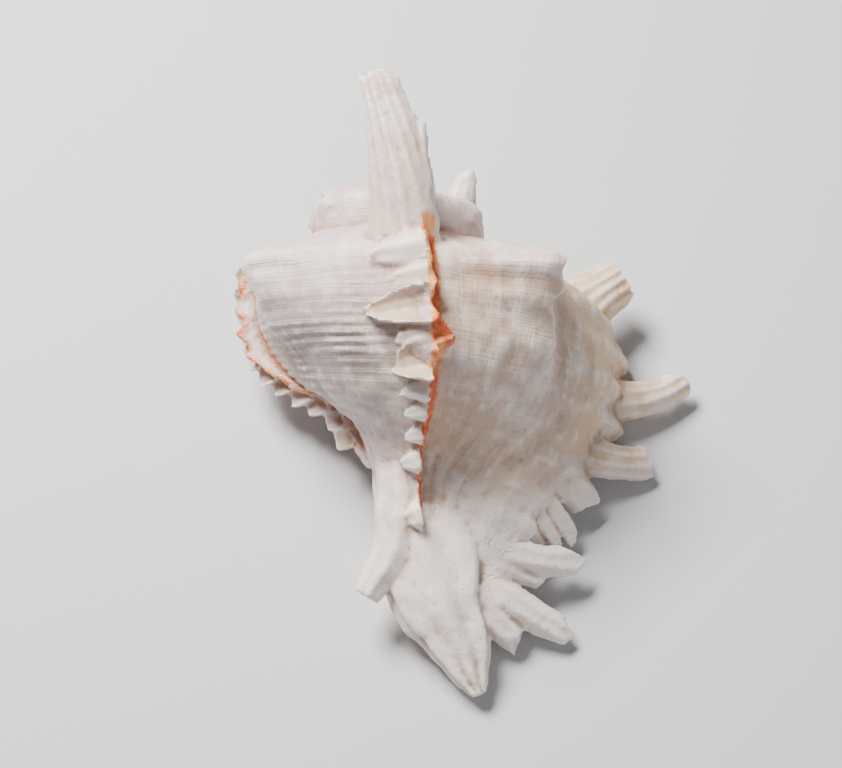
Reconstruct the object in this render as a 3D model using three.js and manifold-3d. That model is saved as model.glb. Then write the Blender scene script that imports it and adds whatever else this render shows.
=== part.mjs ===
// A murex shell: a coiled sea shell with three frilled varices to the turn and a long siphonal canal.
// Millimetres, +Z up. The shell lies with its mouth down, spire towards +Y and canal towards -Y.
import * as THREE from "three";
import { mergeVertices } from "three/addons/utils/BufferGeometryUtils.js";
import Module from "manifold-3d";

// Growth. An angle turns about the coiling axis: 0 faces up, 90 faces +X, and growth runs to larger angles.
const GROWTH_PER_TURN = 1.9;
const LIP_ANGLE = 110;
const MIDDLE_VARIX_ANGLE = 13;
const LEFT_VARIX_ANGLE = -96;
const OLDER_VARIX_ANGLES = [-215, -330, -450, -570, -690];

// The coiling axis: where it crosses y = 0, how far up it the apex is, and how far it leans from +Y.
const AXIS_X = -18;
const AXIS_HEIGHT = 44;
const APEX_ALONG_AXIS = 73;
const SPIRE_DROP = THREE.MathUtils.degToRad(11);
const SPIRE_LEAN = THREE.MathUtils.degToRad(4.2);

// How the shell lies: turned about X, then about Y, and worn flat where it touches the ground.
const REST_PITCH = THREE.MathUtils.degToRad(25.15);
const REST_ROLL = THREE.MathUtils.degToRad(-0.36);
const WORN_DEPTH = 0.5;

// The whorl's outline at angle 0: distance from the apex along the axis, then distance from the axis.
const WHORL_OUTLINE = [
  [31.5, 21.5],
  [36.5, 33],
  [41, 41.5],
  [46, 44.7],
  [60, 44.5],
  [69, 43],
  [76, 39.5],
  [84, 32],
  [91, 22],
  [98, 15],
  [116, 9.5],
];
const OUTLINE_STEPS = 18;
const SOLID_FRACTION = 0.08; // how far in from the outline a whorl's own solid reaches

// How each varix flares: how far out, and over how many degrees before it.
const LIP_FLARE = { out: 13.5, angle: 46 };
const MIDDLE_FLARE = { out: 9, angle: 26 };
const LEFT_FLARE = { out: 11, angle: 30 };
const OLDER_FLARE = { out: 7, angle: 26 };

// The rib that stands across each stage: where, how high, and how it falls away behind and ahead.
const LIP_RIB = { angle: 54, height: 8, behind: 18, ahead: 4.5 };
const MIDDLE_RIB = { angle: -60, height: 6.5, behind: 6, ahead: 15 };
const OLDER_RIB = { height: 3.5, behind: 14, ahead: 8 };

// The newest stage spreads towards the canal as a web that grew less far round than its shoulder.
const WEB = { out: 7, down: 98, length: 15, lag: 22 };

// The hollow that the animal lived in, in the same measures as the outline.
const LUMEN = { down: 62, out: 26.5, halfLength: 21, halfWidth: 12.5, slant: 0.38 };
const MOUTH_FLARE = { out: 11, length: 0.12 }; // how much wider and longer it opens at the lip
const LUMEN_TURN = 220;
const LUMEN_POINTS = 8;

// ------------------------------------------------------------ growth and outline

const outlineCurve = new THREE.SplineCurve(WHORL_OUTLINE.map(([d, r]) => new THREE.Vector2(d, r)));

function sizeAt(angle) {
  return GROWTH_PER_TURN ** (angle / 360);
}

const axisDirection = new THREE.Vector3(
  -Math.sin(SPIRE_LEAN) * Math.cos(SPIRE_DROP),
  Math.cos(SPIRE_LEAN) * Math.cos(SPIRE_DROP),
  -Math.sin(SPIRE_DROP),
);
const upSide = new THREE.Vector3(0, 0, 1).addScaledVector(axisDirection, -axisDirection.z).normalize();
const rightSide = new THREE.Vector3().crossVectors(axisDirection, upSide).normalize();
const axisFoot = new THREE.Vector3(AXIS_X, 0, AXIS_HEIGHT);

function outward(angle) {
  const turn = THREE.MathUtils.degToRad(angle);
  return new THREE.Vector3()
    .addScaledVector(upSide, Math.cos(turn))
    .addScaledVector(rightSide, Math.sin(turn));
}

// A point at an angle, a distance down from the apex and a distance out from the axis.
function shellPoint(angle, down, out) {
  return axisFoot
    .clone()
    .addScaledVector(axisDirection, APEX_ALONG_AXIS - down)
    .addScaledVector(outward(angle), out);
}

// ------------------------------------------------------------ solids

const library = await Module();
library.setup();

function toSolid(geometry) {
  const shape = new THREE.BufferGeometry().setAttribute("position", geometry.getAttribute("position"));
  shape.setIndex(geometry.index);
  const merged = mergeVertices(shape, 1e-4);
  const corners = merged.index.array;
  const kept = [];
  for (let i = 0; i < corners.length; i += 3) {
    const [a, b, c] = [corners[i], corners[i + 1], corners[i + 2]];
    if (a !== b && b !== c && c !== a) kept.push(a, b, c);
  }
  const vertProperties = merged.getAttribute("position").array;
  const build = (order) => {
    const triVerts = new Uint32Array(order);
    return new library.Manifold(new library.Mesh({ numProp: 3, vertProperties, triVerts }));
  };
  const solid = build(kept);
  return solid.volume() > 0 ? solid : build(kept.reverse());
}

// A closed solid through cross sections, each with a front row and a back row of the same count.
function thickSheet(sections) {
  const count = sections[0].front.length;
  const points = [];
  for (const { front, back } of sections) points.push(...front, ...back);
  const ring = 2 * count;
  const faces = [];
  const quad = (a, b, c, d) => faces.push(a, b, c, a, c, d);
  // Round each section's loop: along the front row, and home along the back row.
  const loop = [...Array(count).keys(), ...[...Array(count).keys()].reverse().map((i) => i + count)];
  for (let s = 0; s + 1 < sections.length; s++) {
    for (let i = 0; i < ring; i++) {
      const [a, b] = [loop[i], loop[(i + 1) % ring]];
      quad(s * ring + a, s * ring + b, (s + 1) * ring + b, (s + 1) * ring + a);
    }
  }
  const last = (sections.length - 1) * ring;
  for (let i = 0; i + 1 < count; i++) {
    quad(i, i + count, i + 1 + count, i + 1);
    quad(last + i, last + i + 1, last + i + 1 + count, last + i + count);
  }
  const geometry = new THREE.BufferGeometry().setFromPoints(points);
  geometry.setIndex(faces);
  return toSolid(geometry);
}

// ------------------------------------------------------------ one stage of growth, from varix to varix

function bell(x, width) {
  return Math.exp(-((x / width) ** 2));
}

function ramp(x, low, high) {
  return THREE.MathUtils.smoothstep(x, low, high);
}

function stage({ start, end, steps, flare, rib, web = 0 }) {
  const newest = end === LIP_ANGLE;
  const overlap = 8;
  const sections = [];
  for (let step = 0; step <= steps; step++) {
    const angle = THREE.MathUtils.lerp(start - overlap, end, step / steps);
    const size = sizeAt(angle);
    const share = (angle - start) / (end - start);
    const rise = THREE.MathUtils.clamp((angle - end + flare.angle) / flare.angle, 0, 1);
    const front = [];
    const back = [];
    for (let i = 0; i <= OUTLINE_STEPS; i++) {
      const { x: down, y: out } = outlineCurve.getPointAt(i / OUTLINE_STEPS);
      const [low, high] = newest ? [36, 50] : end === LEFT_VARIX_ANGLE ? [33, 48] : [31, 40];
      const shoulder = ramp(down, low, high);
      const spread = shoulder * (1 - 0.45 * ramp(down, 76, 92));
      const lift = flare.out * rise ** 1.7 * spread;
      const foot = 3.5 * Math.exp(-Math.max(angle - start, 0) / 8) * spread;
      const ribRow = bell(down - 41, 6) + 0.8 * bell(down - 52, 9) + 0.35 * bell(down - 66, 6);
      const ribFall = angle < rib.angle ? rib.behind : rib.ahead;
      const ribOut = rib.height * ribRow * bell(angle - rib.angle, ribFall);
      const dent = end === MIDDLE_VARIX_ANGLE ? 5.5 * bell(down - 74, 9) * bell(angle + 60, 36) : 0;
      const webOut = web * ramp(share, 0.1, 1) * bell(down - WEB.down, WEB.length);
      const lag = newest ? WEB.lag * ramp(down, 76, WEB.down) * ramp(share, 0.1, 1) : 0;
      const climb = 2.5 * ramp(share, 0.55, 1) * (1 - ramp(down, 31, 44));
      const reach = size * (out + lift + foot + ribOut - dent + webOut);
      front.push(shellPoint(angle - lag, size * (down - climb), reach));
      back.push(shellPoint(angle, size * down, size * out * SOLID_FRACTION));
    }
    sections.push({ front, back });
  }
  return thickSheet(sections);
}

// A round tapering body along a curve, from a list of [point, half width, half height].
function taper(stations, sides) {
  const sections = stations.map(([[x, y, z], halfWidth, halfHeight], i) => {
    const before = stations[Math.max(i - 1, 0)][0];
    const after = stations[Math.min(i + 1, stations.length - 1)][0];
    const along = new THREE.Vector3(...after).sub(new THREE.Vector3(...before)).normalize();
    const across = new THREE.Vector3(0, 0, 1).cross(along).normalize();
    const upward = new THREE.Vector3().crossVectors(along, across);
    const at = (turn) =>
      new THREE.Vector3(x, y, z)
        .addScaledVector(across, halfWidth * Math.cos(turn))
        .addScaledVector(upward, halfHeight * Math.sin(turn));
    const front = [];
    const back = [];
    for (let k = 0; k < sides; k++) {
      const turn = (Math.PI * (k + 0.5)) / sides;
      front.push(at(turn));
      back.push(at(-turn));
    }
    return { front, back };
  });
  return thickSheet(sections);
}

// ------------------------------------------------------------ fronds

// A frond is a gutter that narrows to its tip. It bends off the straight line from root to tip.
const FROND_STEPS = 5;
const FROND_ROW = 5;
function frond({ root, tip, bend = [0, 0, 0], open, widths, depth = 0.35, wall = 2.2 }) {
  const start = new THREE.Vector3(...root);
  const end = new THREE.Vector3(...tip);
  const middle = start.clone().lerp(end, 0.5).add(new THREE.Vector3(...bend));
  const line = new THREE.QuadraticBezierCurve3(start, middle, end);
  const width = new THREE.SplineCurve(widths.map((w, i) => new THREE.Vector2(i / (widths.length - 1), w)));
  const sections = [];
  for (let step = 0; step <= FROND_STEPS; step++) {
    const t = step / FROND_STEPS;
    const centre = line.getPoint(t);
    const across = new THREE.Vector3(...open).cross(line.getTangent(t)).normalize();
    const opening = new THREE.Vector3().crossVectors(line.getTangent(t), across).normalize();
    const half = width.getPoint(t).y / 2;
    const thickness = wall * (1 - 0.45 * t);
    const front = [];
    const back = [];
    for (let i = 0; i < FROND_ROW; i++) {
      const side = (2 * i) / (FROND_ROW - 1) - 1;
      const hollow = 2 * half * depth * side ** 2;
      front.push(centre.clone().addScaledVector(across, half * side).addScaledVector(opening, hollow));
      back.push(
        centre
          .clone()
          .addScaledVector(across, half * side * 1.02)
          .addScaledVector(opening, hollow - thickness),
      );
    }
    sections.push({ front, back });
  }
  return thickSheet(sections);
}

// Two shoulder fronds of the middle varix stand far above the spire.
const SHOULDER_FRONDS = [
  { root: [-18, 34, 79], tip: [-25.5, 88, 80], bend: [4.5, 0, 7], widths: [22, 19, 15, 11], wall: 3.4 },
  { root: [-15, 35, 79], tip: [-14.8, 76, 80.5], bend: [-0.5, 0, 5.5], widths: [17, 14, 11, 8], wall: 2.8 },
];

// Middle varix: worn scoops that lie back over the older stage, with their hollows outwards.
const SCOOPS = [
  { down: 43.5, back: 25, width: 12 },
  { down: 52, back: 13, width: 8 },
  { down: 60.5, back: 25, width: 9 },
  { down: 68, back: 13, width: 7.5 },
  { down: 75, back: 17, width: 9.5 },
  { down: 81, back: 11, width: 6 },
  { down: 86, back: 10, width: 5 },
  { down: 91, back: 9, width: 5 },
  { down: 97, back: 15, width: 7 },
  { down: 111.5, back: 14, width: 8 },
];

// Left varix: blunt lobes, each at a distance down the whorl.
const LOBES = [37, 44, 51, 58, 65, 71, 77, 82.5, 87, 91, 97, 104];

function outAt(down) {
  const rows = outlineCurve.getSpacedPoints(60);
  return rows.reduce((best, p) => (Math.abs(p.x - down) < Math.abs(best.x - down) ? p : best)).y;
}

function scoop({ down, back, width }) {
  const size = sizeAt(MIDDLE_VARIX_ANGLE);
  const foot = size * outAt(down);
  const outwards = outward(MIDDLE_VARIX_ANGLE - 5);
  return frond({
    root: shellPoint(MIDDLE_VARIX_ANGLE - 1, size * down, foot + 6.5).toArray(),
    tip: shellPoint(MIDDLE_VARIX_ANGLE - back, size * (down + 0.4), foot + 2.2).toArray(),
    bend: outwards.clone().multiplyScalar(3).toArray(),
    open: outwards.toArray(),
    widths: [width * 1.1, width * 1.1, width * 0.75, width * 0.2],
    depth: 0.2,
    wall: 3.2,
  });
}

function lobe(down) {
  const size = sizeAt(LEFT_VARIX_ANGLE);
  const rim = size * (outAt(down) + 7.5);
  const width = down < 80 ? 8 : 5.5;
  const root = shellPoint(LEFT_VARIX_ANGLE - 4, size * down, rim - 4);
  const ahead = shellPoint(LEFT_VARIX_ANGLE + 20, size * down, rim).sub(root);
  return frond({
    root: root.toArray(),
    tip: shellPoint(LEFT_VARIX_ANGLE - 9, size * (down + 1.5), rim + 3.5).toArray(),
    open: ahead.normalize().toArray(),
    widths: [width * 0.9, width, width * 0.8],
    wall: 3.4,
  });
}

// Outer lip: long free fronds, from the shoulder to the canal, and the ragged webs below the last two.
const LIP_FRONDS = [
  { root: [27, 15, 29], tip: [50.5, 32, 19], bend: [-1, 1, 6], widths: [34, 25, 17, 15] },
  { root: [36, 11, 26], tip: [49, 3, 18], bend: [0, 0, 3], widths: [20, 14, 7] },
  { root: [34, -3, 30], tip: [68, 1.5, 22], bend: [3, -9, 6], widths: [20, 13, 10, 9] },
  { root: [27, -17, 42], tip: [57, -23.5, 32], bend: [1, -5, 5], widths: [20, 13, 10, 11] },
  { root: [16, -21, 52], tip: [38.5, -37, 39], bend: [2, 1, 5], widths: [14, 12, 11, 10] },
  { root: [12, -22, 54], tip: [33.5, -48, 41], bend: [3, 2, 4], widths: [9, 7, 6, 5] },
  { root: [8, -24, 56], tip: [29, -50, 44], bend: [3, 2, 4], widths: [8, 7, 5, 4] },
  { root: [4, -26, 57], tip: [23, -48.5, 47], bend: [2, 1, 3], widths: [8, 6, 5, 4] },
  { root: [-6, -41, 57], tip: [34.5, -52, 50], bend: [2, -5, 7], widths: [13, 12, 9, 12] },
  { root: [-8, -50, 58], tip: [30.5, -73, 54], bend: [2, 0, 6], widths: [15, 13, 10, 9] },
  { root: [4, -47, 60], tip: [25, -57.5, 51], bend: [0, -2, 1], widths: [14, 10, 7, 5] },
  { root: [2, -60, 61], tip: [18, -76, 56], bend: [0, -1, 1], widths: [15, 12, 9, 7] },
];

// Spines of the older whorls, up on the spire.
const SPIRE_SPINES = [
  { root: [-2, 45, 37], tip: [3, 62, 33], bend: [0, 2, 1], widths: [14, 9, 5], wall: 3 },
  { root: [-33, 44, 37], tip: [-39, 56, 31], bend: [0, 1, 1], widths: [10, 8, 6], wall: 3 },
  { root: [-36, 43, 36], tip: [-43, 51, 29], bend: [0, 1, 1], widths: [9, 7, 5], wall: 3 },
];

// ------------------------------------------------------------ canal

const CANAL = [
  [[-17, 0, 48], 6, 6],
  [[-15.5, -22, 52], 9.5, 10],
  [[-12, -38, 56], 12.5, 9],
  [[-8.6, -51, 58], 15, 8.5],
  [[-6.2, -62, 60], 12.7, 7.5],
  [[-3.2, -68, 60.5], 10.2, 6.5],
  [[0, -75, 61], 8.2, 5.6],
  [[2.6, -82.5, 61.5], 4.8, 4.2],
  [[4.9, -89, 62], 1.6, 2],
];
const OLD_CANAL = [
  [[-16, -20, 54], 8, 8],
  [[-17, -34, 58], 7.6, 8],
  [[-18.5, -46, 60], 6.5, 6.5],
  [[-27, -60.5, 62], 3.7, 3.7],
];
const CANAL_SIDES = 6;

// ------------------------------------------------------------ lumen

function lumen() {
  const sections = [];
  const steps = 20;
  for (let step = 0; step <= steps; step++) {
    const along = step / steps;
    const angle = THREE.MathUtils.lerp(LIP_ANGLE + 34, LIP_ANGLE - LUMEN_TURN, along);
    const size = sizeAt(angle);
    const close = 1 - 0.6 * THREE.MathUtils.smoothstep(along, 0.6, 1);
    const rise = THREE.MathUtils.clamp((angle - LIP_ANGLE + LIP_FLARE.angle) / LIP_FLARE.angle, 0, 1) ** 1.7;
    const halfLength = LUMEN.halfLength * close * (1 + MOUTH_FLARE.length * rise);
    const halfWidth = LUMEN.halfWidth * close + (MOUTH_FLARE.out / 2) * rise;
    const at = (turn) => {
      const down = halfLength * Math.cos(turn);
      const out = LUMEN.out + (MOUTH_FLARE.out / 2) * rise + halfWidth * Math.sin(turn) - LUMEN.slant * down;
      return shellPoint(angle, size * (LUMEN.down + down), size * out);
    };
    const front = [];
    const back = [];
    for (let k = 0; k < LUMEN_POINTS; k++) {
      const turn = (Math.PI * (k + 0.5)) / LUMEN_POINTS;
      front.push(at(turn));
      back.push(at(-turn));
    }
    sections.push({ front, back });
  }
  return thickSheet(sections);
}

// ------------------------------------------------------------ the shell

const pieces = [];
pieces.push(
  stage({
    start: MIDDLE_VARIX_ANGLE,
    end: LIP_ANGLE,
    steps: 13,
    flare: LIP_FLARE,
    rib: LIP_RIB,
    web: WEB.out,
  }),
);
pieces.push(
  stage({
    start: LEFT_VARIX_ANGLE,
    end: MIDDLE_VARIX_ANGLE,
    steps: 12,
    flare: MIDDLE_FLARE,
    rib: MIDDLE_RIB,
  }),
);
const olderAngles = [LEFT_VARIX_ANGLE, ...OLDER_VARIX_ANGLES];
for (let i = 0; i + 1 < olderAngles.length; i++) {
  const [end, start] = [olderAngles[i], olderAngles[i + 1]];
  const rib = { ...OLDER_RIB, angle: start + (end - start) / 3 };
  const flare = i === 0 ? LEFT_FLARE : OLDER_FLARE;
  pieces.push(stage({ start, end, steps: 7, flare, rib }));
}
const columella = Array.from({ length: 7 }, (_, i) => {
  const down = THREE.MathUtils.lerp(14, 125, i / 6);
  const radius = Math.min(3 + down * 0.1, 9, 13 - down * 0.05);
  return [shellPoint(0, down, 0).toArray(), radius, radius];
});
pieces.push(taper(columella, CANAL_SIDES));
pieces.push(taper(CANAL, CANAL_SIDES));
pieces.push(taper(OLD_CANAL, CANAL_SIDES));
for (const row of SHOULDER_FRONDS) pieces.push(frond({ open: [0.35, 0.1, -0.9], depth: 0.3, ...row }));
for (const row of SCOOPS) pieces.push(scoop(row));
for (const down of LOBES) pieces.push(lobe(down));
for (const row of LIP_FRONDS) pieces.push(frond({ open: [0, 0, -1], wall: 2.6, ...row }));
for (const row of SPIRE_SPINES) pieces.push(frond({ open: [0, 0.2, -1], ...row }));

let shell = pieces.reduce((whole, piece) => whole.add(piece));
shell = shell.subtract(lumen());

function toGeometry(solid) {
  const mesh = solid.getMesh();
  const geometry = new THREE.BufferGeometry();
  geometry.setAttribute("position", new THREE.BufferAttribute(mesh.vertProperties, 3));
  geometry.setIndex(new THREE.BufferAttribute(mesh.triVerts, 1));
  return geometry;
}

// Laid down, with its box centred on the origin and its lowest points worn down to the ground.
const laid = toGeometry(shell).rotateX(REST_PITCH).rotateY(REST_ROLL);
laid.computeBoundingBox();
const middle = laid.boundingBox.getCenter(new THREE.Vector3());
laid.translate(-middle.x, -middle.y, -laid.boundingBox.min.z - WORN_DEPTH);
const ground = new THREE.BoxGeometry(400, 400, 20).translate(0, 0, -10);
const geometry = toGeometry(toSolid(laid).subtract(toSolid(ground)));
geometry.computeVertexNormals();

const shellMaterial = new THREE.MeshStandardMaterial({ color: 0xe9dfd6, roughness: 0.5, metalness: 0 });
const murexShell = new THREE.Mesh(geometry, shellMaterial);
murexShell.name = "murex_shell";

const murex = new THREE.Group();
murex.add(murexShell);

export default murex;
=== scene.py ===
import math

import bmesh
import bpy
import numpy as np
from mathutils import Matrix, Vector, noise
from mathutils.kdtree import KDTree


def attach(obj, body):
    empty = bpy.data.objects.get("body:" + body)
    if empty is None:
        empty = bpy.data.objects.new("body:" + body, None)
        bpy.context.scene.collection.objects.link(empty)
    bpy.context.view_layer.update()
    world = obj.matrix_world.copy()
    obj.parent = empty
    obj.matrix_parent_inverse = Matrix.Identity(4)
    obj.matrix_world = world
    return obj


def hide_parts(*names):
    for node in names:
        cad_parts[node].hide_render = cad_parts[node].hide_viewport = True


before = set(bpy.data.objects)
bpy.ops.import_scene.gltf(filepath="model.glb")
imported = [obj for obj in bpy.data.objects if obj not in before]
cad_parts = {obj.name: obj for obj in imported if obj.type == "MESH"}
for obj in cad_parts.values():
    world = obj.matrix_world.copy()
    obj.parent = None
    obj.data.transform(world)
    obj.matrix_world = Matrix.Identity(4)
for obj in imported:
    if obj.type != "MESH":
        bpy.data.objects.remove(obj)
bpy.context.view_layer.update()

# ---------------------------------------------------------------------------------------------
# The whorls. The animal laid the shell down at its lip, in stages of a third of a turn, and ended
# each stage with a thick flared lip, a varix. Everything here is in millimetres about the coiling
# axis: an angle of 0 faces up, 90 faces the outer lip, and growth runs to larger angles.

GROWTH_PER_TURN = 1.9
LEFT_VARIX, MIDDLE_VARIX, LIP = -96, 13, 110
VARICES = [-690, -570, -450, -330, -215, LEFT_VARIX, MIDDLE_VARIX, LIP]
APEX_ALONG_AXIS = 73
AXIS_FOOT = np.array([-18.0, 0.0, 44.0])
SPIRE_DROP = math.radians(11)
SPIRE_LEAN = math.radians(4.2)

AXIS = np.array([
    -math.sin(SPIRE_LEAN) * math.cos(SPIRE_DROP),
    math.cos(SPIRE_LEAN) * math.cos(SPIRE_DROP),
    -math.sin(SPIRE_DROP),
])
UP_SIDE = np.array([0.0, 0.0, 1.0]) - AXIS[2] * AXIS
UP_SIDE /= np.linalg.norm(UP_SIDE)
RIGHT_SIDE = np.cross(AXIS, UP_SIDE)

# The whorl's outline at angle 0: distance down from the apex, and out from the axis.
OUTLINE = [
    (31.5, 21.5), (36.5, 33), (41, 41.5), (46, 44.7), (60, 44.5), (69, 43),
    (76, 39.5), (84, 32), (91, 22), (98, 15), (116, 9.5),
]


def through(points, count):
    """Points spaced evenly along a smooth curve through the given ones."""
    p = np.array(points, float)
    p = np.vstack([2 * p[0] - p[1], p, 2 * p[-1] - p[-2]])
    fine = []
    for a, b, c, d in zip(p, p[1:], p[2:], p[3:]):
        for t in np.arange(0, 1, 1 / 24):
            fine.append(0.5 * (2 * b + (c - a) * t + (2 * a - 5 * b + 4 * c - d) * t**2
                               + (3 * b - a - 3 * c + d) * t**3))
    fine = np.array(fine + [p[-2]])
    run = np.append(0, np.cumsum(np.linalg.norm(np.diff(fine, axis=0), axis=1)))
    at = np.linspace(0, run[-1], count)
    return np.stack([np.interp(at, run, fine[:, k]) for k in range(p.shape[1])], axis=1)


outline_fine = through(OUTLINE, 400)


def size_at(angle):
    """How large the whorl has grown at an angle, against its size at angle 0."""
    return GROWTH_PER_TURN ** (angle / 360)


def out_at(down):
    """The outline's distance out from the axis, at a distance down from the apex."""
    return np.interp(down, outline_fine[:, 0], outline_fine[:, 1])


def shell_point(angle, down, out):
    """The place at an angle, a distance down from the apex and a distance out from the axis."""
    turn = np.radians(angle)
    side = np.multiply.outer(np.cos(turn), UP_SIDE) + np.multiply.outer(np.sin(turn), RIGHT_SIDE)
    along = np.multiply.outer(APEX_ALONG_AXIS - np.asarray(down), AXIS)
    return AXIS_FOOT + along + side * np.asarray(out)[..., None]


def bell(x, width):
    """1 at 0, falling away on both sides."""
    return np.exp(-((x / width) ** 2))


def ramp(x, low, high):
    """0 below low, 1 above high, and smooth between."""
    t = np.clip((x - low) / (high - low), 0, 1)
    return t * t * (3 - 2 * t)


def ripple(x, y, z):
    """Natural unevenness, about -1 to 1, that repeats exactly each time."""
    return noise.noise(Vector((x, y, z)))


# Every solid of the shell, with the places on it and what is there: how deeply stained orange,
# how much the inside of a gutter, and how much a frond, or -1 for the hollow.
solids = []
laid_places, laid_kinds = [], []


def lay_down(rings, kinds):
    """A closed solid grown ring by ring, each ring extruded from the one before it."""
    laid_places.append(np.vstack(rings))
    laid_kinds.append(np.vstack(kinds))
    bm = bmesh.new()
    ring = bmesh.ops.create_circle(bm, cap_ends=True, segments=len(rings[0]), radius=1)["verts"]
    for vert, place in zip(ring, rings[0]):
        vert.co = place
    for places in rings[1:]:
        edges = [bm.edges.get(pair) for pair in zip(ring, ring[1:] + ring[:1])]
        made = bmesh.ops.extrude_edge_only(bm, edges=edges)["geom"]
        fresh = {g for g in made if isinstance(g, bmesh.types.BMVert)}
        ring = [next(e.other_vert(v) for e in v.link_edges if e.other_vert(v) in fresh) for v in ring]
        for vert, place in zip(ring, places):
            vert.co = place
    edges = [bm.edges.get(pair) for pair in zip(ring, ring[1:] + ring[:1])]
    bmesh.ops.edgeloop_fill(bm, edges=edges)
    bmesh.ops.recalc_face_normals(bm, faces=bm.faces)
    solids.append(bm)


# Cords: low spiral ridges that run on into the fronds. Each is (down, height, width).
CORDS = [(37, 0.8, 2.6), (47, 0.6, 2.4), (56, 0.35, 2), (65, 0.6, 2.4), (73, 0.4, 1.8), (80, 0.6, 2),
         (86, 0.4, 1.5), (92, 0.45, 1.6), (98, 0.4, 1.5), (104, 0.5, 1.8), (110, 0.4, 1.8)]
# The cords that draw the lip out into scallops.
SCALLOPS = CORDS[::2] + [CORDS[3]]
# Fine spiral threads: their spacing in radians per millimetre, and where they stand strongest.
THREAD_SPACING = 2.35
THREAD_BAND = (73, 12)
# The lip's thorn on the middle varix, and the two hollows pressed into the newest stages.
THORN = dict(down=69.5, height=7.0, width=1.1)
MIDDLE_HOLLOW = dict(down=74, long=9, angle=-60, round=36, depth=5.5)
LIP_HOLLOW = dict(down=56, long=13, angle=70, round=9, depth=1.5)
# Round the canal, the newest stage spreads into a wing that lags behind the rest of the lip.
WING_DOWN, WING_LENGTH, WING_LAG = 98, 15, 22

# How each stage ends: how far its lip flares and over how many degrees, how high its low rib
# stands and how many degrees the rib takes to rise and to fall, and how wide its wing is.
OLDER_STAGE = dict(flare_size=7, flare_angle=26, rib_height=3.0, rib_fall=(14, 8), shoulder=(31, 40))
STAGES = {
    LEFT_VARIX: dict(flare_size=11, flare_angle=30, rib_height=4.0, rib_fall=(14, 8), shoulder=(33, 48)),
    MIDDLE_VARIX: dict(flare_size=9, flare_angle=26, rib_height=6.5, rib_fall=(6, 15), shoulder=(31, 40)),
    LIP: dict(flare_size=13.5, flare_angle=46, rib_height=8, rib_fall=(18, 4.5), shoulder=(36, 50),
              rib_angle=54, wing=7, scallop_floor=0.85),
}


def grow_stage(start, end, flare_size, flare_angle, rib_height, rib_fall, shoulder, rib_angle=None,
               wing=0, scallop_floor=0.75):
    """One stage, from inside the last varix to its own flared lip."""
    outline = through(OUTLINE, 220)
    down, out = outline[:, 0], outline[:, 1]
    cords = sum(high * bell(down - at, wide) for at, high, wide in CORDS)
    drawn_out = sum(bell(down - at, wide * 1.3) for at, high, wide in SCALLOPS)
    scallop = scallop_floor + 0.25 * np.clip(drawn_out, 0, 1)
    shoulder = ramp(down, *shoulder) * (1 - 0.45 * ramp(down, 76, 92))
    steps = np.concatenate([np.linspace(start - 8, end - flare_angle, 70)[:-1],
                            np.linspace(end - flare_angle, end, 60)])
    jag = np.array([ripple(d / 2.2, end, 0.4) + 0.6 * ripple(d / 0.9, end, 2.4) for d in down])
    tooth = THORN["height"] * bell(down - THORN["down"], THORN["width"]) if end == MIDDLE_VARIX else 0
    if rib_angle is None:
        rib_angle = start + (end - start) / 3
    rib_edge = rib_angle + np.array([4.5 * ripple(d / 5.0, end, 7.7) for d in down])
    rib_body = bell(down - 43, 6.5) + 0.8 * bell(down - 52, 9) + 0.35 * bell(down - 66, 6)
    thread_height = 0.08 + 0.5 * bell(down - THREAD_BAND[0], THREAD_BAND[1]) * (end < LIP)
    rings, kinds = [], []
    for angle in steps:
        size = size_at(angle)
        share = (angle - start) / (end - start)
        rise = np.clip((angle - end + flare_angle) / flare_angle, 0, 1)
        flare = flare_size * (1 + (scallop - 1) * rise) * rise**1.7 * shoulder
        foot = 3.5 * math.exp(-max(angle - start, 0) / 8) * shoulder
        behind = np.where(angle < rib_edge, rib_fall[0], rib_fall[1])
        rib = rib_height * rib_body * bell(angle - rib_edge, behind)
        wave = np.array([ripple(angle / 9, d / 30, 3.1) + 0.5 * ripple(angle / 4, d / 9, 5.1)
                         for d in down[::6]])
        wave = 0.75 * np.interp(down, down[::6], wave)
        strength = np.array([0.5 + ripple(angle / 25, d / 11, 9.4) for d in down[::6]])
        strength = np.interp(down, down[::6], np.clip(strength, 0.1, 1.0)) * (1.5 - rise)
        for varix, hollow in ((MIDDLE_VARIX, MIDDLE_HOLLOW), (LIP, LIP_HOLLOW)):
            if end == varix:
                across = bell(down - hollow["down"], hollow["long"])
                wave = wave - hollow["depth"] * across * bell(angle - hollow["angle"], hollow["round"])
        threads = thread_height * strength * np.sin(down * THREAD_SPACING
                                                    + 1.6 * ripple(angle / 30, 0.5, 0.5))
        spread = ramp(share, 0.1, 1.0)
        web = wing * spread * bell(down - WING_DOWN, WING_LENGTH)
        reach = size * (out + cords * (0.4 + 0.9 * rise) + rib + flare + foot + wave + threads + web)
        turned = angle - WING_LAG * (wing > 0) * ramp(down, 76, WING_DOWN) * spread
        turned = turned + ramp(rise, 0.85, 1.0) * (1.6 * jag + tooth)
        climb = 2.5 * ramp(share, 0.55, 1.0) * (1 - ramp(down, 31, 44))
        front = shell_point(turned, size * (down - climb), reach)
        back_down = down[::-11]
        back = shell_point(np.full(len(back_down), angle), size * back_down, size * 0.08 * out[::-11])
        rings.append(np.vstack([front, back]))
        kind = np.zeros((len(front) + len(back), 3))
        kind[:, 0] = ramp(rise, 0.93 if end < LIP else 0.985, 1.0)
        kinds.append(kind)
    lay_down(rings, kinds)


for start, end in zip(VARICES, VARICES[1:]):
    grow_stage(start, end, **STAGES.get(end, OLDER_STAGE))

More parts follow.
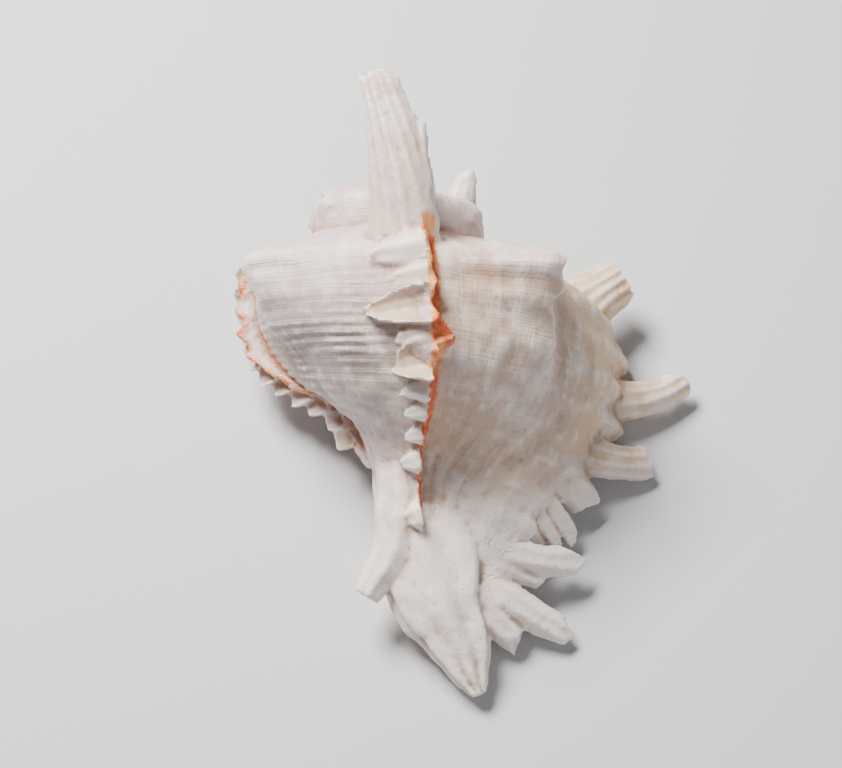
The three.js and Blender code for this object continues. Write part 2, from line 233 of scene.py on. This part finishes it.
# The columella, the solid pillar that every whorl winds round.
COLUMELLA_SIDES = 24
around = np.linspace(0, 360, COLUMELLA_SIDES, endpoint=False)
columella = []
for down in np.linspace(12, 125, 40):
    thick = min(3 + down * 0.1, 9, 13 - down * 0.05)
    columella.append(shell_point(around, np.full(COLUMELLA_SIDES, down), np.full(COLUMELLA_SIDES, thick)))
lay_down(columella, [np.zeros((COLUMELLA_SIDES, 3))] * len(columella))

# ---------------------------------------------------------------------------------------------
# The fronds: gutters of the same shell, drawn out where a cord meets a lip. They are convex and
# fluted behind, hollow in front, thin at the rims and ragged at the tip.

FROND_COLUMNS, FROND_ROWS = 25, 34
# How far round each half of a frond curls, in radians.
FROND_CURL = math.pi * 0.42


def frond(root, tip, bend, open_to, widths, depth=0.35, wall=2.0, folds=5, fluting=0.35, ragged=0.12,
          drift=0.0, stained=(0, 0), seed=0.0):
    """A gutter from root to tip, bowed by bend, with its hollow towards open_to."""
    root, tip, bend = (np.array(v, float) for v in (root, tip, bend))
    open_to = np.array(open_to, float)
    middle = (root + tip) / 2 + bend
    side = np.linspace(-1, 1, FROND_COLUMNS)
    end = 1 - ragged * (0.5 + np.array([ripple(s * 2.6, seed, 0.5) for s in side])) - 0.06 * side**2
    width_curve = through([(i / (len(widths) - 1), w) for i, w in enumerate(widths)], 40)
    rings, kinds = [], []
    for row in range(FROND_ROWS):
        share = row / (FROND_ROWS - 1)
        front, back = [], []
        for i, s in enumerate(side):
            t = share * end[i]
            centre = (1 - t)**2 * root + 2 * t * (1 - t) * middle + t * t * tip
            tangent = (1 - t) * (middle - root) + t * (tip - middle)
            tangent /= np.linalg.norm(tangent)
            across = np.cross(open_to, tangent)
            across /= np.linalg.norm(across)
            opening = np.cross(tangent, across)
            half = np.interp(t, width_curve[:, 0], width_curve[:, 1]) / 2
            wobble = 1 + 0.07 * ripple(t * 5, s * 1.5, seed + 4)
            sweep = s * FROND_CURL
            bowl = half * depth * 2.6 * (1 - math.cos(sweep))
            lie = centre + across * half * math.sin(sweep) / math.sin(FROND_CURL) * wobble
            thick = wall * (1 - 0.45 * t) * (1 - 0.45 * s**4)
            lift = fluting * math.cos(math.pi * folds * (s + 0.13 - drift * t))
            lift = lift * (1 - s**4) * (0.35 + 0.65 * t)
            front.append(lie + opening * (bowl + lift * 0.5))
            back.append(lie + opening * (bowl + lift - thick))
        rings.append(np.array(front + back[::-1]))
        kind = np.zeros((2 * FROND_COLUMNS, 3))
        rim = 0.8 * ramp(side, 0.9, 1.0) * (stained[0] < share < stained[1])
        kind[:, 0] = np.concatenate([rim, rim[::-1]])
        kind[1:FROND_COLUMNS - 1, 1] = 1.0
        kind[:, 2] = 1.0
        kinds.append(kind)
    lay_down(rings, kinds)


TOP_FRONDS = [
    dict(root=(-18, 34, 79), tip=(-25.5, 87.5, 80), bend=(4.5, 0, 7), widths=(22, 19, 15, 10), folds=6,
         wall=3.4, ragged=0.05, drift=-0.5, stained=(0.2, 0.72)),
    dict(root=(-15, 35, 79), tip=(-14.8, 75, 80.5), bend=(-0.5, 0, 5.5), widths=(17, 14, 11, 8), folds=4,
         wall=2.8, drift=-0.4),
]
for i, row in enumerate(TOP_FRONDS):
    frond(open_to=(0.35, 0.1, -0.9), depth=0.3, fluting=0.8, seed=1.0 + i, **row)

# Along the outer lip, from the shoulder to the canal.
LIP_FRONDS = [
    dict(root=(27, 15, 29), tip=(50.5, 32, 19), bend=(-1, 1, 6), widths=(34, 25, 17, 15), folds=7,
         fluting=0.7),
    dict(root=(36, 11, 26), tip=(49, 3, 18), bend=(0, 0, 3), widths=(20, 14, 7)),
    dict(root=(34, -3, 30), tip=(68, 1.5, 22), bend=(3, -9, 6), widths=(20, 13, 10, 9), folds=4),
    dict(root=(27, -17, 42), tip=(57, -23.5, 32), bend=(1, -5, 5), widths=(20, 13, 10, 11), folds=4),
    dict(root=(16, -21, 52), tip=(38.5, -37, 39), bend=(2, 1, 5), widths=(14, 12, 11, 10), folds=2),
    dict(root=(12, -22, 54), tip=(33.5, -48, 41), bend=(3, 2, 4), widths=(9, 7, 6, 5), folds=2),
    dict(root=(8, -24, 56), tip=(29, -50, 44), bend=(3, 2, 4), widths=(8, 7, 5, 4), folds=2),
    dict(root=(4, -26, 57), tip=(23, -48.5, 47), bend=(2, 1, 3), widths=(8, 6, 5, 4), folds=2),
    dict(root=(-6, -41, 57), tip=(34.5, -52, 50), bend=(2, -5, 7), widths=(13, 12, 9, 12), folds=3,
         ragged=0.16),
    dict(root=(-8, -50, 58), tip=(30.5, -73, 54), bend=(2, 0, 6), widths=(15, 13, 10, 9), folds=3,
         ragged=0.16),
    dict(root=(4, -47, 60), tip=(25, -57.5, 51), bend=(0, -2, 1), widths=(14, 10, 7, 5), folds=3, ragged=0.3),
    dict(root=(2, -60, 61), tip=(18, -76, 56), bend=(0, -1, 1), widths=(15, 12, 9, 7), folds=3, ragged=0.3),
]
for i, row in enumerate(LIP_FRONDS):
    row.setdefault("fluting", 0.5)
    frond(open_to=(0, 0, -1), wall=2.6, seed=10.0 + i, **row)

# ---------------------------------------------------------------------------------------------
# The scoops of the middle varix: short worn fronds that lie back over the older stage. Most are
# mounds that close over the shell, and two are hollows that stand open.

# Each is a distance down the whorl, how many degrees it reaches back, and its width.
SCOOPS = [(45, 21, 11), (52, 13, 8), (60.5, 25, 9), (68, 13, 7.5), (75, 17, 9.5), (81, 11, 6), (86, 10, 5),
          (91, 9, 5), (97, 15, 7), (111.5, 14, 8)]
OPEN_SCOOPS = (2, 4)
SCOOP_BOW = 3
for i, (down, reach_back, width) in enumerate(SCOOPS):
    angle, size = MIDDLE_VARIX, size_at(MIDDLE_VARIX)
    foot = size * out_at(down)
    root = shell_point(angle - 1, size * down, foot + 6.0)
    tip = shell_point(angle - reach_back, size * (down + 0.4), foot + 0.6)
    outward = shell_point(angle - 5, 0, 1) - shell_point(angle - 5, 0, 0)
    if i in OPEN_SCOOPS:
        widths = (width * 1.25, width * 1.1, width * 0.7, width * 0.2)
        frond(root, tip, outward * SCOOP_BOW, outward, widths, depth=0.42, fluting=0.5, wall=6, folds=4,
              ragged=0.25, seed=30.0 + i)
    else:
        widths = (width * 1.45, width * 1.3, width * 0.85, width * 0.25)
        frond(root - outward, tip - outward, outward * SCOOP_BOW, -outward, widths, depth=0.5, fluting=0.6,
              wall=3, folds=3, ragged=0.25, seed=30.0 + i)

# ---------------------------------------------------------------------------------------------
# The lobes of the left varix and the spines of the spire: what is left of older fronds, worn
# short and blunt.

# Each is a distance down the whorl.
LOBES = [44, 51, 58, 65, 71, 77, 82.5, 87, 91, 97, 104]
for i, down in enumerate(LOBES):
    angle, size = LEFT_VARIX, size_at(LEFT_VARIX)
    rim = size * (out_at(down) + 7.5)
    root = shell_point(angle - 4, size * down, rim - 4)
    tip = shell_point(angle - 9, size * (down + 1.5), rim + 3.5)
    ahead = shell_point(angle + 20, size * down, rim) - root
    width = 7.5 if down < 80 else 5.0
    frond(root, tip, (0, 0, 0), ahead, (width * 0.9, width * 1.1, width * 1.1, width * 0.8), fluting=0.2,
          wall=3.4, ragged=0.05, seed=50.0 + i)

SPIRE_SPINES = [
    dict(root=(-2, 45, 37), tip=(3, 62, 33), bend=(0, 2, 1), widths=(14, 9, 5)),
    dict(root=(-33, 44, 37), tip=(-39, 56, 31), bend=(0, 1, 1), widths=(10, 8, 6)),
    dict(root=(-36, 43, 36), tip=(-43, 51, 29), bend=(0, 1, 1), widths=(9, 7, 5)),
]
for i, row in enumerate(SPIRE_SPINES):
    frond(open_to=(0, 0.2, -1), fluting=0.2, wall=3, seed=70.0 + i, **row)

# ---------------------------------------------------------------------------------------------
# The siphonal canal: the lip and the inner lip drawn out into a closed blade with a slit below,
# bent to the right. The end of the canal before it still stands on the left.

CANAL_SIDES, CANAL_STEPS = 72, 70
# Each station is a place, then half the blade's width and half its height.
CANAL = [(-17, 0, 48, 6, 6), (-15.5, -22, 52, 9.5, 10), (-12, -38, 56, 12.5, 9), (-8.6, -51, 58, 15, 8.5),
         (-6.2, -62, 60, 12.7, 7.5), (-3.2, -68, 60.5, 10.2, 6.5), (0, -75, 61, 8.2, 5.6),
         (2.6, -82.5, 61.5, 4.8, 4.2), (4.9, -88, 62, 1.4, 2)]
OLD_CANAL = [(-16, -20, 54, 8, 8), (-17, -34, 58, 7.6, 8), (-18.5, -46, 60, 6.5, 6.5),
             (-27, -60.5, 62, 3.7, 3.7)]


def canal(stations, folds, fold_height, seed):
    """A folded blade through the stations, with the slit along its underside."""
    path = through(stations, CANAL_STEPS)
    rings = []
    for i, (x, y, z, half_width, half_height) in enumerate(path):
        ahead = path[min(i + 1, CANAL_STEPS - 1)][:3] - path[max(i - 1, 0)][:3]
        ahead /= np.linalg.norm(ahead)
        across = np.cross((0, 0, 1), ahead)
        across /= np.linalg.norm(across)
        upward = np.cross(ahead, across)
        ring = []
        for turn in np.linspace(0, 2 * math.pi, CANAL_SIDES, endpoint=False):
            ridge = 1 + fold_height * math.cos(folds * turn + 2.2 * i / CANAL_STEPS) / half_width
            slit = 1 - 0.55 * math.exp(-((turn - 1.5 * math.pi) / 0.16) ** 2)
            reach = ridge * slit * (1 + 0.05 * ripple(turn * 1.3, i / 9, seed))
            ring.append(np.array([x, y, z]) + reach * (across * half_width * math.cos(turn)
                                                      + upward * half_height * math.sin(turn)))
        rings.append(np.array(ring))
    lay_down(rings, [np.full((CANAL_SIDES, 3), (0.0, 0.0, 0.6))] * len(rings))


canal(CANAL, 7, 1.1, 5.0)
canal(OLD_CANAL, 7, 0.3, 8.0)

# ---------------------------------------------------------------------------------------------
# One shell. The stages, fronds and canals are fused into a single skin, as the animal's own
# shell-laying left no joint, and the hollow it lived in is opened from the mouth inwards.

joined = bmesh.new()
for solid in solids:
    piece = bpy.data.meshes.new("piece")
    solid.to_mesh(piece)
    solid.free()
    joined.from_mesh(piece)
    bpy.data.meshes.remove(piece)
whole = bpy.data.meshes.new("murex_shell_skin")
joined.to_mesh(whole)
joined.free()
shell = bpy.data.objects.new("murex_shell_skin", whole)
bpy.context.collection.objects.link(shell)

SKIN_STEP = 0.6


def take_modifiers(obj):
    """Applies what is on the object and returns its new mesh."""
    made = bpy.data.meshes.new_from_object(obj.evaluated_get(bpy.context.evaluated_depsgraph_get()))
    obj.modifiers.clear()
    obj.data = made
    return made


def cut_away(obj, mesh):
    """Takes a solid out of the object."""
    cutter = bpy.data.objects.new("cutter", mesh)
    bpy.context.collection.objects.link(cutter)
    cut = obj.modifiers.new("cut", "BOOLEAN")
    cut.operation = "DIFFERENCE"
    cut.object = cutter
    cut.solver = "FAST"
    take_modifiers(obj)
    bpy.data.objects.remove(cutter)


fuse = shell.modifiers.new("fuse", "REMESH")
fuse.mode = "VOXEL"
fuse.voxel_size = SKIN_STEP
soften = shell.modifiers.new("soften", "SMOOTH")
soften.factor = 0.5
soften.iterations = 4
take_modifiers(shell)

# The hollow: an oval that follows the whorl inwards and narrows. Its mouth opens out, and the
# inside of the lip has a row of small teeth.
LUMEN = dict(down=62, out=26.5, half_length=21, half_width=12.5, slant=0.38, past_lip=34, turn=220)
LUMEN_SIDES, LUMEN_STEPS = 180, 90
MOUTH_FLARE, MOUTH_DEGREES = 5.5, 46
LIP_TEETH, TOOTH_HEIGHT = 24, 0.5
around = np.linspace(0, 2 * math.pi, LUMEN_SIDES, endpoint=False)
hollow_rings = []
for step in np.linspace(0, 1, LUMEN_STEPS):
    angle = (LIP + LUMEN["past_lip"]) * (1 - step) + (LIP - LUMEN["turn"]) * step
    size = size_at(angle)
    close = 1 - 0.6 * ramp(step, 0.6, 1)
    rise = np.clip((angle - LIP + MOUTH_DEGREES) / MOUTH_DEGREES, 0, 1) ** 1.7
    teeth = TOOTH_HEIGHT * rise * np.cos(around * LIP_TEETH) * ramp(np.sin(around), 0.1, 0.5)
    down = LUMEN["half_length"] * close * (1 + 0.12 * rise) * np.cos(around)
    half_width = LUMEN["half_width"] * close + MOUTH_FLARE * rise + teeth
    out = LUMEN["out"] + MOUTH_FLARE * rise + half_width * np.sin(around) - LUMEN["slant"] * down
    hollow_rings.append(shell_point(np.full(LUMEN_SIDES, angle), size * (LUMEN["down"] + down), size * out))
lay_down(hollow_rings, [np.full((LUMEN_SIDES, 3), (0.0, 0.0, -1.0))] * LUMEN_STEPS)
hollow_mesh = bpy.data.meshes.new("hollow")
solids[-1].to_mesh(hollow_mesh)
solids[-1].free()
cut_away(shell, hollow_mesh)

# Laid down on its mouth, in metres, and worn flat where it touches the ground.
REST = (Matrix.Translation((-0.000948, 0.030111, -0.014542)) @ Matrix.Rotation(math.radians(-0.36), 4, "Y")
        @ Matrix.Rotation(math.radians(25.15), 4, "X") @ Matrix.Scale(0.001, 4))
GROUND = 400
ground_mesh = bpy.data.meshes.new("ground")
bm = bmesh.new()
below = REST.inverted() @ Matrix.Scale(0.001, 4) @ Matrix.Translation((0, 0, -GROUND / 2))
bmesh.ops.create_cube(bm, size=GROUND, matrix=below)
bm.to_mesh(ground_mesh)
bm.free()
cut_away(shell, ground_mesh)

SKIN_TRIANGLES = 190000
thin = shell.modifiers.new("thin", "DECIMATE")
faces_now = len(shell.data.loop_triangles) or 2 * len(shell.data.polygons)
thin.ratio = min(1.0, SKIN_TRIANGLES / faces_now)
skin = take_modifiers(shell)

# Crumbs that the cutting left are cleared away, and pinholes are filled.
bm = bmesh.new()
bm.from_mesh(skin)
bmesh.ops.dissolve_degenerate(bm, dist=0.01, edges=bm.edges)
left, islands = set(bm.verts), []
while left:
    front = [left.pop()]
    island = set(front)
    while front:
        vert = front.pop()
        for edge in vert.link_edges:
            neighbour = edge.other_vert(vert)
            if neighbour in left:
                left.remove(neighbour)
                island.add(neighbour)
                front.append(neighbour)
    islands.append(island)
largest = max(islands, key=len)
bmesh.ops.delete(bm, geom=[vert for vert in bm.verts if vert not in largest], context="VERTS")
bmesh.ops.holes_fill(bm, edges=[edge for edge in bm.edges if edge.is_boundary], sides=0)
bmesh.ops.triangulate(bm, faces=bm.faces)
bm.to_mesh(skin)
bm.free()

# What each bit of surface is: the kind of the nearest place that was laid down.
count = len(skin.vertices)
places = np.empty(count * 3)
skin.vertices.foreach_get("co", places)
places = places.reshape(-1, 3)
known, known_kinds = np.vstack(laid_places), np.vstack(laid_kinds)
tree = KDTree(len(known))
for i, place in enumerate(known):
    tree.insert(place, i)
tree.balance()
kinds = known_kinds[[tree.find(place)[1] for place in places]]
inside = kinds[:, 2] < -0.5
on_frond = np.clip(kinds[:, 2], 0, 1)

# Where it lies in the growth: on the newest turn whose outline it fits best.
away = places - AXIS_FOOT
down_now = APEX_ALONG_AXIS - away @ AXIS
radial = away + np.outer(down_now - APEX_ALONG_AXIS, AXIS)
radius = np.linalg.norm(radial, axis=1)
facing = np.degrees(np.arctan2(radial @ RIGHT_SIDE, radial @ UP_SIDE))
best_miss = np.full(count, 1e9)
grown, spiral, proud = np.zeros(count), np.zeros(count), np.zeros(count)
OLDEST_TURN = 3
for turns in range(OLDEST_TURN + 1):
    angle = facing - 360 * turns
    fits = angle <= LIP + 14
    size = size_at(np.where(fits, angle, 0))
    down_here = down_now / size
    stands = radius - size * out_at(down_here)
    miss = np.abs(stands) + 4 * np.clip(31 - down_here, 0, 9)
    better = fits & (miss < best_miss)
    best_miss[better] = miss[better]
    grown[better] = angle[better]
    spiral[better] = down_here[better]
    proud[better] = stands[better]

# Wear: the skin is slightly lumpy everywhere outside.
WEAR = 0.3
normals = np.empty(count * 3)
skin.vertex_normals.foreach_get("vector", normals)
normals = normals.reshape(-1, 3)
lumps = np.array([ripple(*place) for place in places / 5.5])
lumps = lumps + 0.5 * np.array([ripple(*place) for place in places / 2.1])
places = places + normals * (WEAR * lumps * (~inside))[:, None]
skin.vertices.foreach_set("co", places.ravel())

# How far the surface lies below (above 0) or stands proud of (below 0) its surroundings, close by
# and further off: the difference from the same skin after a little and after much smoothing.
ends = np.empty(len(skin.edges) * 2, dtype=np.int32)
skin.edges.foreach_get("vertices", ends)
one, other = ends.reshape(-1, 2).T
joins = np.bincount(one, minlength=count) + np.bincount(other, minlength=count)


def relaxed(values):
    """Each place moved to the middle of its neighbours."""
    total = [np.bincount(one, values[other, k], count) + np.bincount(other, values[one, k], count)
             for k in range(3)]
    return np.stack(total, axis=1) / np.maximum(joins, 1)[:, None]


LITTLE, MUCH = 4, 24
smooth = places
depths = {}
for passes in range(1, MUCH + 1):
    smooth = relaxed(smooth)
    if passes in (LITTLE, MUCH):
        depths[passes] = np.sum((smooth - places) * normals, axis=1)
crease = np.clip(depths[LITTLE] / 0.25, -1, 1) * 0.5 + np.clip(depths[MUCH] / 0.9, -1, 1) * 0.5

# The orange margin just past each varix, fainter on the left one.
margin = np.zeros(count)
unevenness = 1.6 * np.array([ripple(*place) for place in places / 2.0])
for edge in (LEFT_VARIX, MIDDLE_VARIX):
    past = (grown - edge) * size_at(edge) + unevenness
    band = ramp(past, -2.4, -1.0) * (1 - ramp(past, 2.4, 4.2))
    if edge == LEFT_VARIX:
        band = 0.55 * band * (1 - ramp(proud, 1.5, 5.0))
    margin = np.maximum(margin, band)
margin *= (1 - ramp(places[:, 1], 44.5, 48)) * ramp(spiral, 30, 34) * (1 - ramp(spiral, 107, 113))
margin *= np.abs(grown - LIP) > 20


def tell(name, values):
    """Keeps a number for each point of the skin, for the material to read."""
    layer = skin.attributes.new(name, "FLOAT", "POINT")
    layer.data.foreach_set("value", np.ascontiguousarray(values, dtype=np.float32))


tell("spiral", spiral)
tell("age", grown)
tell("frond", on_frond)
tell("crease", np.where(inside, 0, crease))
tell("lip_stain", np.maximum(kinds[:, 0], margin) * (~inside))
tell("gutter", kinds[:, 1])
tell("pearly", inside.astype(float))

# Its ground colour, which drifts from lilac on the left stage to cream at the outer lip, with two
# washes of painted shade over hollows that face away from the light.
LILAC = np.array([0.66, 0.51, 0.50])
PINK_BEIGE = np.array([0.62, 0.42, 0.31])
WARM_CREAM = np.array([0.72, 0.48, 0.27])
PAINTED_SHADE_LILAC = np.array([0.37, 0.29, 0.28])
PAINTED_SHADE_BEIGE = np.array([0.46, 0.34, 0.28])
CHALK = np.array([0.93, 0.82, 0.75])
FROND_CREAM = np.array([0.80, 0.63, 0.52])
PORCELAIN = np.array([0.9, 0.87, 0.84])


def wash(under, share, colour):
    """The colours under, with a share of another colour laid over each."""
    return under * (1 - share[:, None]) + colour * share[:, None]


x, y, z = places.T
tint = np.tile(LILAC, (count, 1))
tint = wash(tint, ramp(grown, 6, 18), PINK_BEIGE)
tint = wash(tint, ramp(grown, 70, 95) * ramp(y, -30, -5), WARM_CREAM)
tint = wash(tint, 0.6 * on_frond * (x > 30) * ramp(y, -10, 5), WARM_CREAM)
left_stage = ramp(grown, -94, -70) * (1 - ramp(grown, 2, 12))
# Painted shade: a darker lilac over the low hollow of the left stage, which faces away from the light.
tint = wash(tint, np.minimum(1, 1.15 * bell(spiral - 75, 16)) * left_stage, PAINTED_SHADE_LILAC)
# Painted shade: a darker beige over the hollow between the newest stage's rib and its flared lip.
tint = wash(tint, 0.5 * bell(spiral - 72, 16) * bell(grown - 60, 26) * (grown > 16), PAINTED_SHADE_BEIGE)
tint = wash(tint, ramp(-y, 22, 42), CHALK)
tint = wash(tint, 0.6 * on_frond * ramp(z, 60, 75), FROND_CREAM)
tint = wash(tint, inside.astype(float), PORCELAIN)
tint_layer = skin.color_attributes.new("tint", "FLOAT_COLOR", "POINT")
tint_layer.data.foreach_set("color", np.hstack([tint, np.ones((count, 1))]).astype(np.float32).ravel())

skin.transform(REST)
skin.shade_smooth()

# The shell's finish: satin and chalky, with spiral threads crossed by growth lines.
finish = bpy.data.materials.new("murex_shell_finish")
finish.use_nodes = True
nodes, links = finish.node_tree.nodes, finish.node_tree.links
nodes.clear()


def node(kind, **settings):
    made = nodes.new(kind)
    for key, value in settings.items():
        setattr(made, key, value)
    return made


def feed(socket, value):
    """Gives a socket another socket's value, or a number or colour of its own."""
    if isinstance(value, bpy.types.NodeSocket):
        links.new(value, socket)
    else:
        socket.default_value = (*value, 1) if isinstance(value, tuple) else value


def told(name, output="Fac"):
    return node("ShaderNodeAttribute", attribute_name=name).outputs[output]


def maths(operation, *values):
    made = node("ShaderNodeMath", operation=operation)
    for socket, value in zip(made.inputs, values):
        feed(socket, value)
    return made.outputs[0]


def between(value, low, high):
    """0 where the value is at low, 1 where it is at high, and smooth between."""
    made = node("ShaderNodeMapRange", interpolation_type="SMOOTHSTEP")
    feed(made.inputs["Value"], value)
    feed(made.inputs["From Min"], low)
    feed(made.inputs["From Max"], high)
    return made.outputs["Result"]


where = node("ShaderNodeTexCoord").outputs["Object"]


def speckle(scale, detail=3.0, rough=0.55, vector=where):
    made = node("ShaderNodeTexNoise")
    feed(made.inputs["Scale"], scale)
    feed(made.inputs["Detail"], detail)
    feed(made.inputs["Roughness"], rough)
    feed(made.inputs["Vector"], vector)
    return made.outputs["Fac"]


def blend_in(base, paint, share):
    made = node("ShaderNodeMix", data_type="RGBA")
    feed(made.inputs["Factor"], share)
    feed(made.inputs["A"], base)
    feed(made.inputs["B"], paint)
    return made.outputs["Result"]


crease_now, gutter_now, pearly_now = told("crease"), told("gutter"), told("pearly")
drift = speckle(60, 3)


def streaks(along_age, along_spiral, detail, rough):
    """Uneven lines drawn out along the growth or along the spiral."""
    stretched = node("ShaderNodeCombineXYZ")
    feed(stretched.inputs["X"], maths("MULTIPLY", maths("MULTIPLY_ADD", drift, 8.0, told("age")), along_age))
    feed(stretched.inputs["Y"],
         maths("MULTIPLY", maths("MULTIPLY_ADD", drift, 2.0, told("spiral")), along_spiral))
    return speckle(1.0, detail, rough, stretched.outputs["Vector"])


# The relief: threads and growth lines, quieter on the fronds, and none inside the mouth.
threads = streaks(0.012, 1.5, 3, 0.6)
growth = streaks(0.75, 0.035, 4, 0.65)
relief = maths("MULTIPLY_ADD", threads, 1.6, maths("MULTIPLY", growth, 1.5))
relief = maths("MULTIPLY", relief, maths("MULTIPLY_ADD", told("frond"), -0.8, 1.0))
relief = maths("ADD", relief, maths("MULTIPLY", speckle(420, 4, 0.6), 0.6))
relief = maths("MULTIPLY", relief, maths("SUBTRACT", 1.0, maths("MULTIPLY", pearly_now, 0.95)))

# The colour: chalky patches, dull patches, lines, tan gutters, then painted shade in the creases and
# a painted white highlight on what stands proud.
CHALKY, DULL = (0.88, 0.78, 0.72), (0.50, 0.38, 0.31)
LINE_LIGHT, LINE_DARK = (0.84, 0.76, 0.70), (0.50, 0.42, 0.36)
TAN, PAINTED_CREASE_SHADE = (0.56, 0.42, 0.28), (0.42, 0.25, 0.15)
PAINTED_RIDGE_HIGHLIGHT, PEACH = (0.90, 0.82, 0.77), (0.80, 0.60, 0.44)
colour = told("tint", "Color")
colour = blend_in(colour, CHALKY, maths("MULTIPLY", between(speckle(55, 5, 0.62), 0.46, 0.64), 0.6))
colour = blend_in(colour, DULL, maths("MULTIPLY", between(speckle(130, 5, 0.7), 0.56, 0.7), 0.35))
colour = blend_in(colour, LINE_LIGHT, maths("MULTIPLY", between(growth, 0.54, 0.72), 0.4))
colour = blend_in(colour, LINE_DARK, maths("MULTIPLY", between(threads, 0.5, 0.36), 0.22))
colour = blend_in(colour, TAN,
                  maths("MULTIPLY", gutter_now, maths("MULTIPLY", between(speckle(90, 3), 0.3, 0.6), 0.8)))
# Painted shade: a darker brown where the surface lies in a crease.
colour = blend_in(colour, PAINTED_CREASE_SHADE, maths("MULTIPLY", between(crease_now, 0.12, 0.8), 0.75))
# Painted highlight: paler, near white, where the surface stands proud.
colour = blend_in(colour, PAINTED_RIDGE_HIGHLIGHT, maths("MULTIPLY", between(crease_now, -0.12, -0.8), 0.7))
colour = blend_in(colour, PEACH, maths("MULTIPLY", between(speckle(28, 3), 0.55, 0.72), 0.25))

# The orange margins, with painted shade darkening them in their creases, and a few dark pits.
ORANGE, RUST, PAINTED_SHADE_RUST, PIT = (0.88, 0.36, 0.13), (0.66, 0.10, 0.01), (0.60, 0.07, 0.005), (0.33, 0.24, 0.18)
orange = blend_in(ORANGE, RUST, between(speckle(150, 3), 0.42, 0.6))
# Painted shade: the orange turns dark red where it lies in a crease.
orange = blend_in(orange, PAINTED_SHADE_RUST, maths("MULTIPLY", between(crease_now, 0.1, 0.7), 0.8))
orange_share = maths("MULTIPLY", between(told("lip_stain"), 0.1, 0.9), between(speckle(130, 4), 0.24, 0.44))
colour = blend_in(colour, orange, orange_share)
colour = blend_in(colour, PIT, maths("MULTIPLY", between(speckle(900, 1), 0.34, 0.28), 0.35))

roughness = maths("MULTIPLY_ADD", speckle(200, 3), 0.25, 0.34)
roughness = maths("SUBTRACT", roughness, maths("MULTIPLY", pearly_now, 0.28))
bump = node("ShaderNodeBump")
feed(bump.inputs["Strength"], 0.6)
feed(bump.inputs["Distance"], 0.00035)
feed(bump.inputs["Height"], relief)
surface = node("ShaderNodeBsdfPrincipled")
feed(surface.inputs["Base Color"], colour)
feed(surface.inputs["Roughness"], roughness)
feed(surface.inputs["Normal"], bump.outputs["Normal"])
surface.inputs["Subsurface Weight"].default_value = 0.12
surface.inputs["Subsurface Radius"].default_value = (0.003, 0.0018, 0.0012)
surface.inputs["Subsurface Scale"].default_value = 1.0
output = node("ShaderNodeOutputMaterial")
feed(output.inputs["Surface"], surface.outputs["BSDF"])
skin.materials.clear()
skin.materials.append(finish)

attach(shell, "root")
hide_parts("murex_shell")

# ---------------------------------------------------------------------------------------------
# The stage: a pale floor, soft studio lights from the upper left, and a camera that looks down
# on the shell's back.

FLOOR_HALF = 3
floor_mesh = bpy.data.meshes.new("floor")
bm = bmesh.new()
bmesh.ops.create_grid(bm, x_segments=1, y_segments=1, size=FLOOR_HALF)
bm.to_mesh(floor_mesh)
bm.free()
floor = bpy.data.objects.new("floor", floor_mesh)
bpy.context.collection.objects.link(floor)
floor_paint = bpy.data.materials.new("pale_floor")
floor_paint.use_nodes = True
floor_surface = floor_paint.node_tree.nodes["Principled BSDF"]
floor_surface.inputs["Base Color"].default_value = (0.62, 0.62, 0.63, 1)
floor_surface.inputs["Roughness"].default_value = 0.7
floor_mesh.materials.append(floor_paint)

world = bpy.data.worlds.new("studio")
bpy.context.scene.world = world
world.use_nodes = True
world.node_tree.nodes["Background"].inputs["Color"].default_value = (0.9, 0.94, 1.0, 1)
world.node_tree.nodes["Background"].inputs["Strength"].default_value = 0.11


def softbox(name, place, aim, size, power, colour):
    """A square soft light at a place, turned towards aim."""
    data = bpy.data.lights.new(name, "AREA")
    data.size = size
    data.energy = power
    data.color = colour
    lamp = bpy.data.objects.new(name, data)
    lamp.location = place
    lamp.rotation_euler = (Vector(aim) - Vector(place)).to_track_quat("-Z", "Y").to_euler()
    bpy.context.collection.objects.link(lamp)


# In the shell's own millimetres, as it grew, before it was laid down.
MIDDLE = Vector((-11.6, -0.6, 45))
softbox("key", REST @ Vector((-300, 560, 470)), REST @ MIDDLE, 0.3, 19.0, (1.0, 0.98, 0.95))
softbox("fill", REST @ Vector((450, -250, 500)), REST @ MIDDLE, 0.6, 1.6, (0.92, 0.95, 1.0))

CAMERA_DISTANCE = 800
VIEW_WIDTH = 242.1
SENSOR = 36.0
camera_data = bpy.data.cameras.new("camera")
camera_data.sensor_width = SENSOR
camera_data.lens = SENSOR * CAMERA_DISTANCE / VIEW_WIDTH
camera = bpy.data.objects.new("camera", camera_data)
above = Matrix.Translation(MIDDLE + Vector((0, 0, CAMERA_DISTANCE)))
camera.matrix_world = (REST @ above).normalized()
bpy.context.collection.objects.link(camera)
bpy.context.scene.camera = camera
